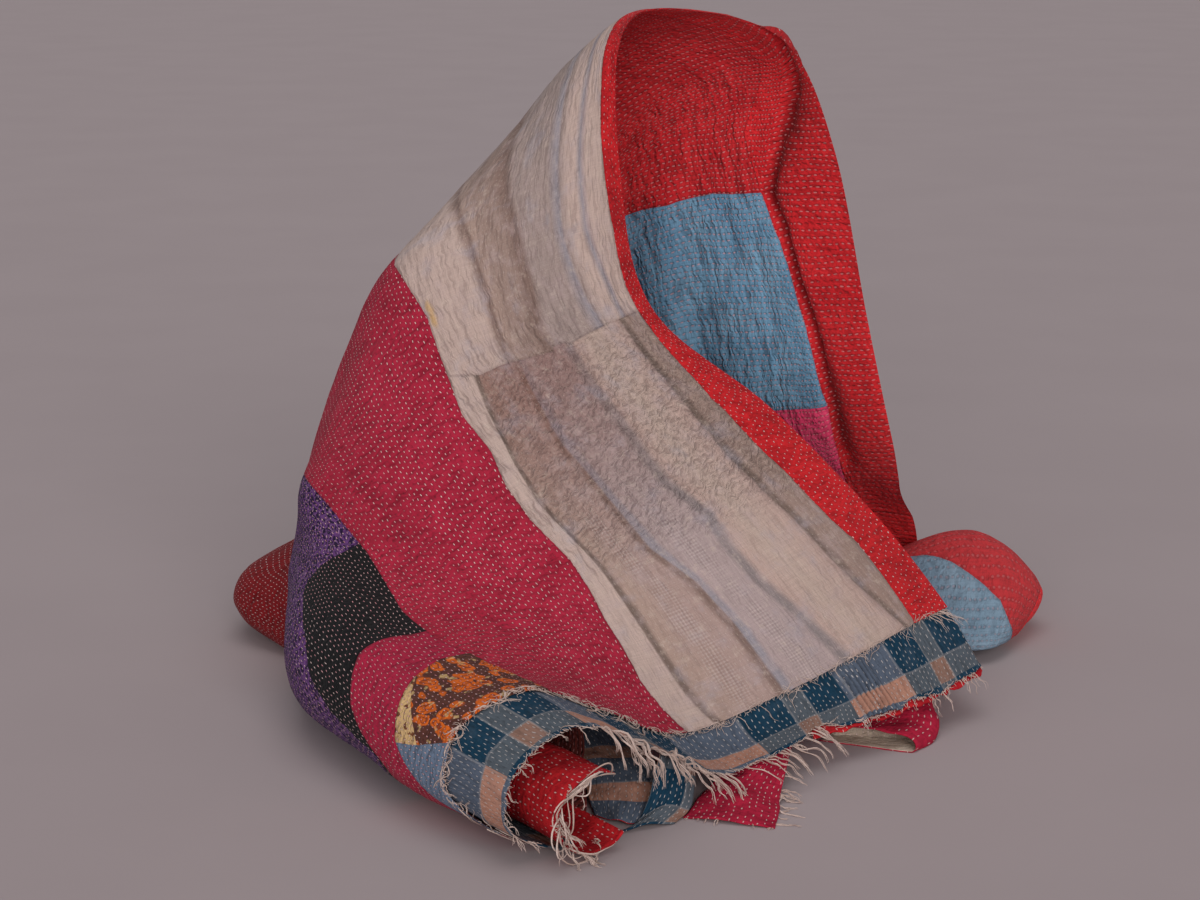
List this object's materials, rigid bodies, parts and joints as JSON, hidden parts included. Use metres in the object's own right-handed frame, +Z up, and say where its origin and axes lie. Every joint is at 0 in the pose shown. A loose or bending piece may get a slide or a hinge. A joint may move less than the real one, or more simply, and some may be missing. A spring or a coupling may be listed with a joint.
{
  "type": "kantha quilt",
  "caption": "Hand-quilted patchwork kantha throw of worn cotton, standing draped as a hood with one long margin rolled and one end frayed.",
  "frame": {"origin": "plan centre of the whole draped quilt, on the floor that it stands on", "axes": "+X to the right of a viewer facing the front, -Y towards that viewer (rolled end and frayed hem), +Z up"},
  "size_m": [1.0241, 0.9372, 0.7886],
  "materials": {
    "patchwork_cotton": "worn printed cotton patches with running stitch, matt",
    "plaid_cotton": "woven check cotton, matt",
    "red_cotton": "plain dyed cotton, matt",
    "crimson_cotton": "plain dyed cotton with running stitch, matt",
    "frayed_thread": "loose unbleached cotton thread"
  },
  "bodies": {
    "root": {"quilt": "patchwork_cotton", "plaid_layer": "plaid_cotton", "backing_layer": "red_cotton", "crimson_fold": "crimson_cotton", "crimson_flap": "crimson_cotton", "plaid_flap": "plaid_cotton", "red_curl": "red_cotton", "fringe_hem": "frayed_thread", "fringe_plaid": "frayed_thread", "fringe_curl": "frayed_thread", "fringe_flap": "frayed_thread"}
  },
  "joints": []
}
